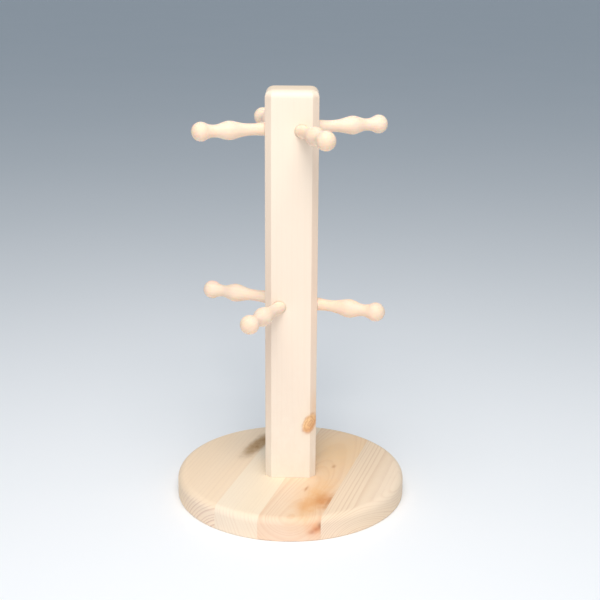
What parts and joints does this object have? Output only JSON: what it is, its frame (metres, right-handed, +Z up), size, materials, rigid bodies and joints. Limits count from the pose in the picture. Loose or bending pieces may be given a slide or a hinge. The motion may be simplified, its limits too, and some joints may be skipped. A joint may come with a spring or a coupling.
{
  "type": "mug tree",
  "caption": "Free-standing pine mug tree: a square post on a round base, with two tiers of turned pegs for hanging mugs.",
  "frame": {"origin": "middle of the round base's underside", "axes": "+Z up along the post; the post's front face looks along -Y; +X to the right as seen from the front"},
  "size_m": [0.203, 0.203, 0.361],
  "materials": {
    "pine_base": "sanded, unfinished",
    "knotty_pine_base": "sanded, unfinished",
    "pine_post": "sanded, unfinished",
    "turned_peg": "smooth turned",
    "screw_steel": "yellow zinc"
  },
  "bodies": {
    "root": {"base_board_left": "pine_base", "base_board_middle_left": "pine_base", "base_board_middle_right": "knotty_pine_base", "base_board_right": "pine_base", "post": "pine_post", "peg_upper_left": "turned_peg", "peg_upper_right": "turned_peg", "peg_upper_front": "turned_peg", "peg_upper_back": "turned_peg", "peg_lower_left": "turned_peg", "peg_lower_right": "turned_peg", "peg_lower_front": "turned_peg", "base_screw_left": "screw_steel", "base_screw_right": "screw_steel"}
  },
  "joints": []
}
